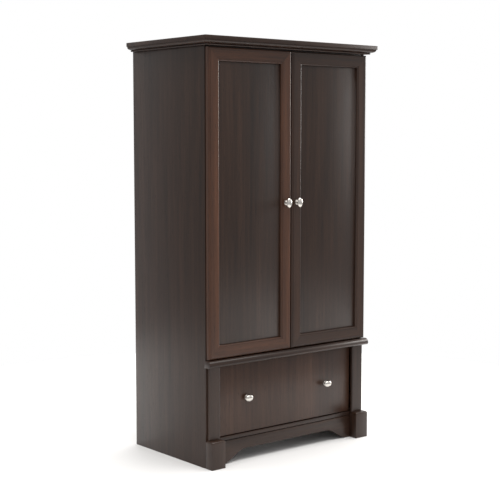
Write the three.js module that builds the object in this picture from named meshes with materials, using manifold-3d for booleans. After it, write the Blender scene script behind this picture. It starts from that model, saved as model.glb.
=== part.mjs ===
// A two-door armoire with one wide drawer, in millimetres, +Z up, front towards -Y.
// It is laid out on the plane of the side panels' front edges (y = 0), then moved back
// so that the origin is at the bottom centre of the whole piece.
import * as THREE from "three";
import { mergeVertices } from "three/addons/utils/BufferGeometryUtils.js";
import Module from "manifold-3d";

const wasm = await Module();
wasm.setup();

// Overall sizes
const width = 790; // over the outer faces of the side panels
const depth = 450; // front edge to rear edge of a side panel
const height = 1560; // floor to the top of the top board
const gap = 0.3; // between pieces that touch

// Boards
const sideThick = 16;
const shelfThick = 16;
const backThick = 3;
const backInset = 4; // rear edge of a side panel to the back panel

// Top board and crown moulding
const slabThick = 15;
const slabOverhang = 30; // beyond the side panels
const crownBase = 17; // the moulding's base plane, in front of the side panels' edges
const crownDrop = 18; // underside of the slab to the underside of the moulding
const crownReveal = 4; // slab edge to the widest part of the moulding
const crownBead = 3; // radius of the bead along its foot
const crownBeadOut = 7; // base plane to the middle of the bead
const crownFillet = 1.2; // flat band under the slab
const headerHeight = 46;
const headerThick = 16;

// Base
const floorTop = 105; // upper face of the bottom panel
const floorThick = 14;
const footHeight = 104;
const footWidth = 62;
const footProud = 38; // in front of the side panels' edges
const footRound = 8;
const apronThick = 16;
const apronReveal = 2.5; // dark line between the bottom panel and the apron
const archHeight = 46;
const archHalf = 205; // half the length of its flat stretch
const archEnd = 322; // where the curve meets the floor, from the middle
const pilasterThick = 12;
const pilasterWidth = 53;
const pilasterInset = 7; // outer face of the side panel to the pilaster
const pilasterRound = 6; // the edge beside the drawer
const pilasterEase = 2; // the outer edge

// Waist moulding and fixed shelf
const waistTop = 399.5;
const waistHeight = 27;
const waistProud = 35;
const waistOver = 5; // past the outer face of each side panel

// Doors
const doorGap = 3; // to the waist moulding and between the doors
const doorInset = 3; // outer face of the side panel to the door's edge
const doorBack = 2.5; // side panel's front edge to the door's back
const doorThick = 17.5;
const doorHeadGap = 4.5; // to the underside of the crown moulding
const frameWidth = 50;
const frameStep = 1; // sunk step beside the flat face
const outerRound = 8; // width of the eased outer edge
const outerFall = 5; // its depth
const innerBead = 6.5; // radius of the bead beside the panel
const grooveDeep = 6;
const doorPanelThick = 5;
const doorPanelSunk = 9; // face of the frame to the face of the panel

// Hinges
const pivotIn = 10; // from the outer face of the side panel
const pivotOut = 13.5; // from the side panel's front edge
const hingeEnd = 95; // from the top or foot of the door to the middle of its hinge
const cupLength = 36;
const cupFar = 42; // far inner wall of the cup, from the side panel's outer face
const cupNear = 7.8;
const cupDeep = 15.4; // floor of the cup, in front of the side panel's edge
const cupWall = 0.8;
const armThick = 2;
const armWidth = 11;
const plateThick = 2.5;
const plateHeight = 34;

// Inside the wardrobe
const rodDrop = 66; // underside of the adjustable shelf to the middle of the rod
const rodRadius = 12.5;
const socketRadius = 19;
const socketThick = 9;
const socketLip = 5;
const looseShelfDrop = 195; // underside of the top board to the shelf's top face
const looseShelfDepth = 395;
const pinRadius = 2.5;
const pinLength = 9;
const pinHeadRadius = 5;
const pinFront = 60; // front and rear pins, from the side panel's front edge
const pinRear = 370;

// Drawer
const drawerSetBack = 4; // side panel's front edge to the drawer's face
const drawerThick = 16;
const drawerSideGap = 2.5; // to each pilaster
const drawerFootGap = 3;
const drawerHeadGap = 3.5;
const boxWidth = 636;
const boxDepth = 380;
const boxBottom = 145;
const boxHeight = 160;
const boxThick = 12;
const boxFloorThick = 4;
const boxFloorRise = 6;

// Roller runners
const runnerSpace = 13; // drawer side to the cleat
const cleatHeight = 50;
const cleatBottom = 118;
const runnerThick = 1.2;
const runnerLength = 372;
const railBottom = 124;
const railHeight = 30;
const rollerRadius = 8.5;
const rollerWidth = 6;
const rollerBack = 31; // roller's axle, from the side panel's front edge
const axleRadius = 2;

// Knobs
const knobLong = 36;
const knobShort = 25;
const knobProud = 26;
const doorKnobIn = 27; // from the middle of the cabinet
const doorKnobHeight = 959;
const drawerKnobIn = 200;
const drawerKnobHeight = 237;

// Worked out from the sizes above
const half = width / 2;
const inner = half - sideThick - gap; // where boards between the side panels end
const slabBottom = height - slabThick;
const boardTop = slabBottom - gap;
const crownBottom = slabBottom - crownDrop;
const backFace = depth - backInset - backThick; // front face of the back panel
const boardBack = backFace - gap;
const looseShelfTop = slabBottom - looseShelfDrop;
const rodHeight = looseShelfTop - shelfThick - rodDrop;
const doorFront = doorBack + doorThick;
const doorBottom = waistTop + doorGap;
const doorTop = crownBottom - doorHeadGap;
const doorHeight = doorTop - doorBottom;
const doorWidth = half - doorInset - doorGap / 2;
const waistBottom = waistTop - waistHeight;
const pilasterInner = half - pilasterInset - pilasterWidth;
const drawerHalf = pilasterInner - drawerSideGap;
const drawerBottom = floorTop + drawerFootGap;
const drawerTop = waistBottom - drawerHeadGap;
const boxHalf = boxWidth / 2;
const boxFront = drawerSetBack + drawerThick + gap;
const cleatInner = boxHalf + runnerSpace;
const cleatFront = drawerSetBack + drawerThick + gap;

const finish = {
  wood: new THREE.MeshStandardMaterial({ color: 0x3a2621, roughness: 0.5 }),
  panelWood: new THREE.MeshStandardMaterial({ color: 0x33211d, roughness: 0.5 }),
  insideWood: new THREE.MeshStandardMaterial({ color: 0x4a352c, roughness: 0.6 }),
  nickel: new THREE.MeshStandardMaterial({ color: 0xc9c4bb, roughness: 0.28, metalness: 1 }),
  steel: new THREE.MeshStandardMaterial({ color: 0x9b9b99, roughness: 0.4, metalness: 1 }),
  nylon: new THREE.MeshStandardMaterial({ color: 0xe8e6e0, roughness: 0.55 }),
};

const armoire = new THREE.Group();

function addMesh(name, geometry, material, parent = armoire) {
  const mesh = new THREE.Mesh(geometry, material);
  mesh.name = name;
  parent.add(mesh);
  return mesh;
}

// A box between two corners
function block(x0, x1, y0, y1, z0, z1) {
  const geometry = new THREE.BoxGeometry(x1 - x0, y1 - y0, z1 - z0);
  return geometry.translate((x0 + x1) / 2, (y0 + y1) / 2, (z0 + z1) / 2);
}

function outline(points) {
  return new THREE.Shape(points.map(([a, b]) => new THREE.Vector2(a, b)));
}

// Points on an elliptical arc, from one angle to another in degrees
function arc(cx, cy, rx, ry, from, to, steps) {
  const points = [];
  for (let i = 0; i <= steps; i++) {
    const t = THREE.MathUtils.degToRad(from + ((to - from) * i) / steps);
    points.push([cx + rx * Math.cos(t), cy + ry * Math.sin(t)]);
  }
  return points;
}

// Prisms of an outline, along x, y or z
function prismZ(points, z0, z1) {
  const geometry = new THREE.ExtrudeGeometry(outline(points), { depth: z1 - z0, bevelEnabled: false });
  return geometry.translate(0, 0, z0);
}

function prismX(points, x0, x1) {
  // the outline's points are (y, z)
  const geometry = new THREE.ExtrudeGeometry(outline(points), { depth: x1 - x0, bevelEnabled: false });
  return geometry.applyMatrix4(
    new THREE.Matrix4().set(0, 0, 1, x0, 1, 0, 0, 0, 0, 1, 0, 0, 0, 0, 0, 1),
  );
}

function prismY(points, y0, y1) {
  // the outline's points are (x, z)
  const geometry = new THREE.ExtrudeGeometry(outline(points), { depth: y1 - y0, bevelEnabled: false });
  return geometry.applyMatrix4(
    new THREE.Matrix4().set(1, 0, 0, 0, 0, 0, -1, y1, 0, 1, 0, 0, 0, 0, 0, 1),
  );
}

// A bar of one section whose ends are cut on the slant. The section's points are (s, d), and
// place(s, d, along) gives a corner's position. Each end moves by slope times s.
function mitredBar(points, length, slope, place) {
  const geometry = new THREE.ExtrudeGeometry(outline(points), { depth: 1, bevelEnabled: false });
  const position = geometry.getAttribute("position");
  const corner = new THREE.Vector3();
  for (let i = 0; i < position.count; i++) {
    const s = position.getX(i);
    const end = position.getZ(i) < 0.5 ? -1 : 1;
    place(corner, s, position.getY(i), end * (length / 2 + slope * s));
    position.setXYZ(i, corner.x, corner.y, corner.z);
  }
  return faceOut(geometry);
}

function solid(geometry) {
  const clean = new THREE.BufferGeometry();
  clean.setAttribute("position", geometry.getAttribute("position"));
  if (geometry.index) clean.setIndex(geometry.index);
  const merged = mergeVertices(clean, 1e-3);
  return new wasm.Manifold(
    new wasm.Mesh({
      numProp: 3,
      vertProperties: merged.attributes.position.array,
      triVerts: new Uint32Array(merged.index.array),
    }),
  );
}

function surface(body) {
  const mesh = body.getMesh();
  const geometry = new THREE.BufferGeometry();
  geometry.setAttribute("position", new THREE.BufferAttribute(new Float32Array(mesh.vertProperties), 3));
  geometry.setIndex(new THREE.BufferAttribute(new Uint32Array(mesh.triVerts), 1));
  return geometry;
}

// Turns a shape's faces outwards if they point in
function faceOut(geometry) {
  const flat = geometry.index ? geometry.toNonIndexed() : geometry;
  const p = flat.getAttribute("position");
  const [a, b, c] = [0, 1, 2].map(() => new THREE.Vector3());
  let volume = 0;
  for (let i = 0; i < p.count; i += 3) {
    a.fromBufferAttribute(p, i);
    b.fromBufferAttribute(p, i + 1);
    c.fromBufferAttribute(p, i + 2);
    volume += a.dot(b.cross(c));
  }
  const out = new THREE.BufferGeometry();
  const values = new Float32Array(p.count * 3);
  for (let i = 0; i < p.count; i += 3) {
    const order = volume < 0 ? [0, 2, 1] : [0, 1, 2];
    order.forEach((from, to) => {
      a.fromBufferAttribute(p, i + from);
      a.toArray(values, (i + to) * 3);
    });
  }
  out.setAttribute("position", new THREE.BufferAttribute(values, 3));
  return out;
}

// The same shape on the other side of the cabinet
function mirrored(geometry) {
  return faceOut(geometry.clone().scale(-1, 1, 1));
}

function cut(geometry, ...tools) {
  return surface(tools.reduce((body, tool) => body.subtract(solid(tool)), solid(geometry)));
}

function join(geometry, ...more) {
  return surface(more.reduce((body, next) => body.add(solid(next)), solid(geometry)));
}

// A left piece and its mirror image
function addPair(name, geometry, material, parent) {
  addMesh("left_" + name, geometry, material, parent);
  addMesh("right_" + name, mirrored(geometry), material, parent);
}

// ---- Carcass ----

// Each shelf pin has its own blind hole in a side panel
const pinHoleRadius = pinRadius + gap;
const pinHoleDepth = pinLength / 2 + gap;
const pinHeight = looseShelfTop - shelfThick - gap - pinRadius;

function cylinderX(radius, x0, x1, y, z, sides = 20) {
  const geometry = new THREE.CylinderGeometry(radius, radius, x1 - x0, sides);
  return geometry.rotateZ(-Math.PI / 2).translate((x0 + x1) / 2, y, z);
}

function sidePanel() {
  const panel = block(-half, -half + sideThick, 0, depth, 0, boardTop);
  const face = -half + sideThick;
  const holes = [pinFront, pinRear].map((y) =>
    cylinderX(pinHoleRadius, face - pinHoleDepth, face + 1, y, pinHeight, 12),
  );
  return cut(panel, ...holes);
}
addPair("side_panel", sidePanel(), finish.wood);

function topBoard() {
  const x = half + slabOverhang;
  const front = -(crownBase + slabOverhang);
  const ease = 1.2; // the small chamfer along the top and bottom edges
  const slab = block(-x, x, front, depth, slabBottom, height);
  // up is 1 for the upper edge and -1 for the lower one
  const chamfer = (z, up) => {
    const section = [
      [front - 1, z - up * ease],
      [front, z - up * ease],
      [front + ease, z],
      [front + ease, z + up],
      [front - 1, z + up],
    ];
    return faceOut(prismX(section, -x - 1, x + 1));
  };
  return cut(slab, chamfer(height, 1), chamfer(slabBottom, -1));
}
addMesh("top_board", topBoard(), finish.wood);

// The crown's section: out from its base plane, and height. A bead at the foot, then a
// convex ovolo that swells out to a narrow flat band under the slab.
function crownSection(from) {
  const out = slabOverhang - crownReveal;
  const foot = crownBottom + 2 * crownBead;
  const start = crownBeadOut + crownBead / 2; // where the ovolo leaves the bead
  const top = boardTop - crownFillet;
  return [
    [from, crownBottom],
    ...arc(crownBeadOut, crownBottom + crownBead, crownBead, crownBead, -90, 90, 8),
    ...arc(start, top, out - start, top - foot - gap, -90, 0, 8),
    [out, boardTop],
    [from, boardTop],
  ];
}

function crownFront() {
  const section = crownSection(gap);
  const moulding = mitredBar(section, width, 1, (v, s, d, along) => v.set(along, -crownBase - s, d));
  const filler = block(-half, half, -crownBase - 2 * gap, -gap, crownBottom, boardTop);
  return join(moulding, filler);
}

function crownSide() {
  const section = crownSection(gap);
  const length = depth + crownBase;
  return mitredBar(section, length, 0, (v, s, d, along) => {
    const front = along < 0;
    v.set(-half - s, front ? -crownBase - s + 2 * gap : depth, d);
  });
}
addMesh("crown_front", crownFront(), finish.wood);
const crownLeft = crownSide();
addMesh("crown_left", crownLeft, finish.wood);
addMesh("crown_right", mirrored(crownLeft), finish.wood);

addMesh("header_rail", block(-inner, inner, 0, headerThick, boardTop - headerHeight, boardTop), finish.wood);
addMesh("fixed_shelf", block(-inner, inner, 0, boardBack, waistTop - shelfThick, waistTop), finish.insideWood);
addMesh("bottom_panel", block(-inner, inner, 0, boardBack, floorTop - floorThick, floorTop), finish.wood);
addMesh(
  "back_panel",
  block(-inner, inner, backFace, backFace + backThick, floorTop - floorThick, boardTop),
  finish.insideWood,
);

// A bullnose rail with a small quirk above its rounded nose
function waistMoulding() {
  const x = half + waistOver;
  const nose = 9;
  const quirk = 1.5;
  const middle = waistBottom + 2 + nose;
  const topRise = waistTop - middle - quirk;
  const section = [
    [-gap, waistBottom],
    ...arc(-waistProud + nose, middle, -nose, -nose, 90, 0, 7),
    ...arc(-waistProud + nose + quirk, middle, -nose - quirk + 0.4, topRise, 0, 90, 7).slice(1),
    [-waistProud + nose + quirk, waistTop],
    [-gap, waistTop],
  ];
  return faceOut(prismX(section, -x, x));
}
addMesh("waist_moulding", waistMoulding(), finish.wood);

// ---- Base ----

function pilaster() {
  const x0 = -half + pilasterInset;
  const x1 = -pilasterInner;
  const front = -pilasterThick;
  const bottom = footHeight + gap;
  const top = waistBottom - gap;
  const section = [
    [x0, -gap],
    ...arc(x0 + pilasterEase, front + pilasterEase, pilasterEase, pilasterEase, 180, 270, 3),
    ...arc(x1 - pilasterRound, front + pilasterRound, pilasterRound, pilasterRound, 270, 360, 6),
    [x1, -gap],
  ];
  return faceOut(prismZ(section, bottom, top));
}
addPair("pilaster", pilaster(), finish.wood);

function footBlock() {
  const x0 = -half;
  const x1 = -half + footWidth;
  const r = footRound;
  const fromSide = prismX(
    [
      [-gap, 0],
      [-footProud, 0],
      ...arc(-footProud + r, footHeight - r, r, r, 180, 90, 5),
      [-gap, footHeight],
    ],
    x0,
    x1,
  );
  const fromFront = prismY(
    [
      [x0, -1],
      [x1, -1],
      ...arc(x1 - r, footHeight - r, r, r, 0, 90, 5),
      ...arc(x0 + r, footHeight - r, r, r, 90, 180, 5),
    ],
    -footProud - 1,
    1,
  );
  return surface(solid(faceOut(fromSide)).intersect(solid(faceOut(fromFront))));
}
addPair("foot_block", footBlock(), finish.wood);

// The lower edge rises from the floor in an ogee at each end to a flat arch
function frontApron() {
  const top = floorTop - floorThick - apronReveal;
  const run = archEnd - archHalf;
  const steps = 12;
  const rise = [];
  for (let i = 0; i <= steps; i++) {
    const t = i / steps;
    rise.push([-archEnd + run * t, archHeight * (0.5 - 0.5 * Math.cos(Math.PI * t))]);
  }
  const fall = rise.map(([x, z]) => [-x, z]).reverse();
  const points = [[-inner, 0], ...rise, ...fall, [inner, 0], [inner, top], [-inner, top]];
  return faceOut(prismY(points, 0, apronThick));
}
addMesh("front_apron", frontApron(), finish.wood);

// ---- Inside the wardrobe ----

function rodSocket() {
  // an open-topped cup screwed to the side panel, so that the rod drops in
  const face = -half + sideThick + gap;
  const plate = cylinderX(socketRadius, face, face + socketThick, depth / 2, rodHeight, 32);
  const room = rodRadius + gap;
  const floor = face + socketThick - socketLip;
  const bore = cylinderX(room, floor, face + socketThick + 1, depth / 2, rodHeight, 32);
  const mouth = block(
    floor,
    face + socketThick + 1,
    depth / 2 - room,
    depth / 2 + room,
    rodHeight,
    rodHeight + socketRadius + 1,
  );
  return cut(plate, bore, mouth);
}
addPair("rod_socket", rodSocket(), finish.nickel);

const rodEnd = half - sideThick - socketThick + socketLip - 2 * gap;
const rodWall = 1.2;
const rodBore = cylinderX(rodRadius - rodWall, -rodEnd - 1, rodEnd + 1, depth / 2, rodHeight, 28);
const rod = cut(cylinderX(rodRadius, -rodEnd, rodEnd, depth / 2, rodHeight, 28), rodBore);
addMesh("garment_rod", rod, finish.nickel);

addMesh(
  "adjustable_shelf",
  block(
    -inner + 1,
    inner - 1,
    boardBack - looseShelfDepth,
    boardBack,
    looseShelfTop - shelfThick,
    looseShelfTop,
  ),
  finish.insideWood,
);

for (const [end, y] of [["front", pinFront], ["rear", pinRear]]) {
  const face = -half + sideThick;
  const shank = cylinderX(pinRadius, face - pinLength / 2, face + pinLength, y, pinHeight, 12);
  const collar = cylinderX(pinHeadRadius, face + gap, face + gap + 1.6, y, pinHeight - 2.4, 16);
  const pin = join(shank, collar);
  addPair("shelf_pin_" + end, pin, finish.steel);
}

// ---- Doors ----

// A frame member's section: s from its outer edge, d forward from the side panels' edges
function frameSection() {
  const front = doorFront;
  const step = front - frameStep;
  const panelFace = front - doorPanelSunk;
  const grooveFront = panelFace + gap;
  const grooveBack = panelFace - doorPanelThick - gap;
  const lip = frameWidth - 0.5;
  const beadEdge = lip - innerBead;
  return [
    [0, doorBack],
    [frameWidth, doorBack],
    [frameWidth, grooveBack],
    [frameWidth - grooveDeep, grooveBack],
    [frameWidth - grooveDeep, grooveFront],
    [lip, grooveFront],
    ...arc(beadEdge, step - innerBead, innerBead, innerBead, 0, 90, 6),
    [beadEdge - 0.8, step],
    [beadEdge - 1.2, front],
    [outerRound + 1.2, front],
    [outerRound + 0.8, step],
    ...arc(outerRound, step - outerFall, outerRound, outerFall, 90, 180, 5),
  ];
}

const doorLeftEdge = -half + doorInset;
const mitreGap = gap / 2;
const section = frameSection();

// Left door's members: a stile's s runs from its outer edge inwards
function stile(edge, direction) {
  return mitredBar(section, doorHeight - 2 * mitreGap, -1, (v, s, d, along) =>
    v.set(edge + direction * s, -d, (doorTop + doorBottom) / 2 + along),
  );
}

function rail(edge, direction) {
  return mitredBar(section, doorWidth - 2 * mitreGap, -1, (v, s, d, along) =>
    v.set(doorLeftEdge + doorWidth / 2 + along, -d, edge + direction * s),
  );
}

// The outline of a hinge cup, looking at the door's back, grown by a given amount
function cupOutline(grow) {
  const near = -half + cupNear - grow;
  const far = -half + cupFar + grow;
  const r = 8;
  const tight = 2.5; // so that the pin's ends meet straight walls
  const h = cupLength / 2 + grow - cupWall;
  return [
    ...arc(far - r, h - r, r, r, 0, 90, 4),
    ...arc(near + tight, h - tight, tight, tight, 90, 180, 3),
    ...arc(near + tight, -h + tight, tight, tight, 180, 270, 3),
    ...arc(far - r, -h + r, r, r, 270, 360, 4),
  ];
}

const hingeHeights = [["upper", doorTop - hingeEnd], ["lower", doorBottom + hingeEnd]];

function hingeCup(z) {
  const floor = -cupDeep;
  const shell = prismY(cupOutline(cupWall), floor - cupWall, -doorBack - gap);
  const hollow = prismY(cupOutline(0), floor, -doorBack + 1);
  // the pin across the cup that the arm turns on
  const pin = new THREE.CylinderGeometry(0.9, 0.9, cupLength - 1, 10)
    .rotateX(Math.PI / 2)
    .translate(-half + pivotIn, -pivotOut, 0);
  return join(cut(faceOut(shell), faceOut(hollow)), pin).translate(0, 0, z);
}

// The fixed arm: a plate on the side panel, and a gooseneck round its edge to the pin
function hingeArm(z) {
  const t = armThick / 2;
  const face = sideThick + gap;
  const eye = arc(pivotIn, pivotOut, 1.7, 1.8, 90, 270, 6);
  const out = 26;
  const points = [
    [face + plateThick, -55],
    [face, -55],
    [face, -7],
    [out - t, 2],
    [out - t, pivotOut - 4],
    [out - 4, pivotOut - t],
    [pivotIn, pivotOut - 1.8],
    ...eye.reverse().slice(1, -1),
    [pivotIn, pivotOut + 1.8],
    [out - 3, pivotOut + t],
    [out + t, pivotOut - 3],
    [out + t, 1],
    [face + plateThick, -9],
  ];
  const arm = prismZ(points.map(([u, v]) => [-half + u, -v]), -armWidth / 2, armWidth / 2);
  const plate = block(-half + face, -half + face + plateThick, 20, 56, -plateHeight / 2, plateHeight / 2);
  const bore = new THREE.CylinderGeometry(1.25, 1.25, armWidth + 2, 12)
    .rotateX(Math.PI / 2)
    .translate(-half + pivotIn, -pivotOut, 0);
  return cut(join(faceOut(arm), plate), bore).translate(0, 0, z);
}

function hingeStile() {
  const pockets = hingeHeights.map(([, z]) =>
    faceOut(prismY(cupOutline(cupWall + gap), -cupDeep - cupWall - gap, -doorBack + 1)).translate(0, 0, z),
  );
  return cut(stile(doorLeftEdge, 1), ...pockets);
}

// An oval knob: a rosette, a waisted stem and a domed oval head, round first and then widened
function knob(x, face, z, upright) {
  // radii as shares of the head's, heights as shares of the whole
  const profile = [
    [0, 0], [0.72, 0], [0.75, 0.04], [0.69, 0.085], [0.43, 0.125], [0.34, 0.21], [0.34, 0.33], [0.42, 0.44],
    [0.67, 0.525], [0.9, 0.58], [1, 0.655], [0.99, 0.73], [0.86, 0.83], [0.61, 0.92], [0.31, 0.98], [0, 1],
  ].map(([r, h]) => new THREE.Vector2((r * knobShort) / 2, h * knobProud));
  const geometry = new THREE.LatheGeometry(profile, 24);
  // its axis from +y to forward, then the head only is widened along its long side
  geometry.rotateX(Math.PI);
  const position = geometry.getAttribute("position");
  const widest = knobLong / knobShort;
  for (let i = 0; i < position.count; i++) {
    const h = -position.getY(i);
    const blend = THREE.MathUtils.smoothstep(h / knobProud, 0.33, 0.525);
    const k = 1 + (widest - 1) * blend;
    const long = upright ? position.getZ(i) : position.getX(i);
    if (upright) position.setZ(i, long * k);
    else position.setX(i, long * k);
  }
  const closed = mergeVertices(stripped(geometry), 1e-3);
  return faceOut(closed).translate(x, face - gap, z);
}

function stripped(geometry) {
  const bare = new THREE.BufferGeometry();
  bare.setAttribute("position", geometry.getAttribute("position"));
  bare.setIndex(geometry.index);
  return bare;
}

function doorPanel() {
  const reach = frameWidth - grooveDeep + gap;
  const face = -doorFront + doorPanelSunk;
  return block(
    doorLeftEdge + reach,
    doorLeftEdge + doorWidth - reach,
    face,
    face + doorPanelThick,
    doorBottom + reach,
    doorTop - reach,
  );
}

const doorPieces = [
  ["hinge_stile", hingeStile(), finish.wood],
  ["meeting_stile", stile(-doorGap / 2, -1), finish.wood],
  ["top_rail", rail(doorTop, -1), finish.wood],
  ["bottom_rail", rail(doorBottom, 1), finish.wood],
  ["panel", doorPanel(), finish.panelWood],
  ["knob", knob(-doorKnobIn, -doorFront, doorKnobHeight, true), finish.nickel],
  ...hingeHeights.map(([end, z]) => ["hinge_cup_" + end, hingeCup(z), finish.steel]),
];
for (const [name, geometry, material] of doorPieces) addPair("door_" + name, geometry, material);
for (const [end, z] of hingeHeights) addPair("hinge_arm_" + end, hingeArm(z), finish.steel);

// ---- Drawer ----

function drawerFront() {
  const front = drawerSetBack;
  const ease = 1.5;
  return faceOut(
    prismX(
      [
        [front + drawerThick, drawerBottom],
        [front + ease, drawerBottom],
        [front, drawerBottom + ease],
        [front, drawerTop - ease],
        [front + ease, drawerTop],
        [front + drawerThick, drawerTop],
      ],
      -drawerHalf,
      drawerHalf,
    ),
  );
}
addMesh("drawer_front", drawerFront(), finish.wood);

const boxBack = boxFront + boxDepth;
const boxInner = boxHalf - boxThick;
const boxFloor = boxBottom + boxFloorRise;
addPair(
  "drawer_side",
  block(-boxHalf, -boxInner, boxFront, boxBack, boxBottom, boxBottom + boxHeight),
  finish.insideWood,
);
addMesh(
  "drawer_back",
  block(
    -boxInner + gap,
    boxInner - gap,
    boxBack - boxThick,
    boxBack,
    boxBottom,
    boxBottom + boxHeight,
  ),
  finish.insideWood,
);
addMesh(
  "drawer_bottom",
  block(
    -boxInner + gap,
    boxInner - gap,
    boxFront,
    boxBack - boxThick - gap,
    boxFloor,
    boxFloor + boxFloorThick,
  ),
  finish.insideWood,
);
const drawerKnob = knob(-drawerKnobIn, drawerSetBack, drawerKnobHeight, false);
addPair("drawer_knob", drawerKnob, finish.nickel);

// ---- Runners ----

// A wooden cleat carries each cabinet runner clear of the pilaster
addPair(
  "runner_cleat",
  block(-inner, -cleatInner, cleatFront, boardBack - 10, cleatBottom, cleatBottom + cleatHeight),
  finish.insideWood,
);

const rollerCentre = boxBottom - gap - runnerThick - gap - rollerRadius;
const rollerFar = boxHalf + 3.5; // the roller's inner face, from the middle

function cabinetRunner() {
  const web = -cleatInner + gap;
  const start = cleatFront + gap;
  const end = start + runnerLength;
  const length = [start, end];
  const flangeEnd = -boxHalf - 2;
  const section = [
    [web, railBottom],
    [flangeEnd, railBottom],
    [flangeEnd, railBottom + runnerThick],
    [web + runnerThick, railBottom + runnerThick],
    [web + runnerThick, railBottom + railHeight],
    [web, railBottom + railHeight],
  ];
  const rail = faceOut(prismY(section, ...length));
  const notch = block(
    web + runnerThick + 0.2,
    flangeEnd + 1,
    start - 1,
    rollerBack + rollerRadius + 1.5,
    railBottom - 1,
    railBottom + runnerThick + 1,
  );
  const axle = cylinderX(axleRadius, web + runnerThick / 2, -rollerFar + 1.5, rollerBack, rollerCentre, 14);
  return join(cut(rail, notch), axle);
}
addPair("cabinet_runner", cabinetRunner(), finish.steel);

function drawerRunner() {
  const web = -boxHalf - gap;
  const top = boxBottom + 14;
  const under = boxBottom - gap - runnerThick;
  const section = [
    [web, top],
    [web - runnerThick, top],
    [web - runnerThick, under + runnerThick],
    [web - runnerSpace + 3.5, under + runnerThick],
    [web - runnerSpace + 3.5, under],
    [web + 9, under],
    [web + 9, under + runnerThick],
    [web, under + runnerThick],
  ];
  return faceOut(prismY(section, boxFront + gap, boxFront + runnerLength));
}
addPair("drawer_runner", drawerRunner(), finish.steel);

function roller() {
  const x0 = -rollerFar - rollerWidth;
  const x1 = -rollerFar;
  const wheel = cylinderX(rollerRadius, x0, x1, rollerBack, rollerCentre, 32);
  return cut(wheel, cylinderX(axleRadius + gap, x0 - 1, x1 + 1, rollerBack, rollerCentre, 16));
}
addPair("roller", roller(), finish.nylon);

// The origin goes to the bottom centre of the whole piece
armoire.position.y = -(depth - crownBase - slabOverhang) / 2;

export default armoire;
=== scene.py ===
from math import cos, pi, radians, sin

import bpy
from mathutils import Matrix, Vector


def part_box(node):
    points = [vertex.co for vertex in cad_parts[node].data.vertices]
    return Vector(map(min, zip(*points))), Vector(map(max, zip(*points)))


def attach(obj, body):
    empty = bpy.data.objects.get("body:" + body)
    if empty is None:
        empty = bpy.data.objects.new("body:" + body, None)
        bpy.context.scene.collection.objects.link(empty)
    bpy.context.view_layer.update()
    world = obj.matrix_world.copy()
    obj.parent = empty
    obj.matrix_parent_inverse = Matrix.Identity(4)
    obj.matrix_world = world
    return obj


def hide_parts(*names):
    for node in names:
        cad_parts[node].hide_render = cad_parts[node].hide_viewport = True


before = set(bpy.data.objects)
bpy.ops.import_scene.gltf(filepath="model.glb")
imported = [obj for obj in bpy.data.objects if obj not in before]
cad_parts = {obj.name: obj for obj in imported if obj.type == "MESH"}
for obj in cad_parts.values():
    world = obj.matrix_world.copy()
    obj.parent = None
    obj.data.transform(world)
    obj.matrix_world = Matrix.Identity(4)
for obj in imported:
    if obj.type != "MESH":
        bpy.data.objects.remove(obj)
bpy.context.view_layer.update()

mm = 0.001
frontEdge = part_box("left_side_panel")[0].y  # the side panels' front edges
print("frame loaded:", len(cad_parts), "nodes")


# The camera, the pale floor, the bright room and two soft lights
studio = {
    "cameraAt": (-2.9361, -3.5447, 1.2064),
    "heading": 39.436,  # degrees from +Y towards +X
    "tilt": -5.507,
    "lens": 84.76,
    "sensor": 36,
    "farClip": 200,
    "floorRadius": 2.0,
    "floorColour": (0.90, 0.895, 0.89, 1.0),
    "floorRoughness": 0.6,
    "floorClouds": 1.02,  # how much lighter the floor's clouds are
    "backdrop": (1.0, 1.0, 1.0, 1.0),
    "backdropFrom": 0.78,  # cosine of the angle from the heading where the backdrop fades in
    "backdropFull": 0.93,
    "roomLow": (0.50, 0.50, 0.505, 1.0),
    "roomHigh": (0.80, 0.79, 0.78, 1.0),
    "roomFrom": -0.02,
    "roomFull": 0.75,
    "keyLight": {
        "place": (4.7, -0.75, 1.7),
        "target": (0, 0, 0.7),
        "size": (1.6, 1.6),
        "watts": 95,
        "colour": (1.0, 0.98, 0.95),
    },
    "topLight": {
        "place": (0.3, -0.5, 5.2),
        "target": (0.3, -0.5, 0),
        "size": (5.0, 5.0),
        "watts": 330,
        "colour": (1.0, 0.99, 0.975),
    },
}


def deselectAll():
    if bpy.context.object and bpy.context.object.mode != "OBJECT":
        bpy.ops.object.mode_set(mode="OBJECT")
    bpy.ops.object.select_all(action="DESELECT")


def setCamera():
    heading = radians(studio["heading"])
    tilt = radians(studio["tilt"])
    look = Vector((sin(heading) * cos(tilt), cos(heading) * cos(tilt), sin(tilt)))
    turn = look.to_track_quat("-Z", "Y").to_euler()
    bpy.ops.object.camera_add(location=studio["cameraAt"], rotation=turn)
    camera = bpy.context.object
    camera.name = "studioCamera"
    camera.data.lens = studio["lens"]
    camera.data.sensor_width = studio["sensor"]
    camera.data.clip_end = studio["farClip"]
    camera.data.dof.use_dof = False
    bpy.context.scene.camera = camera


def areaLight(name, place, target, size, watts, colour):
    turn = (Vector(target) - Vector(place)).to_track_quat("-Z", "Y").to_euler()
    bpy.ops.object.light_add(type="AREA", location=place, rotation=turn)
    light = bpy.context.object
    light.name = name
    light.data.shape = "RECTANGLE"
    light.data.size, light.data.size_y = size
    light.data.energy = watts
    light.data.color = colour


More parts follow.
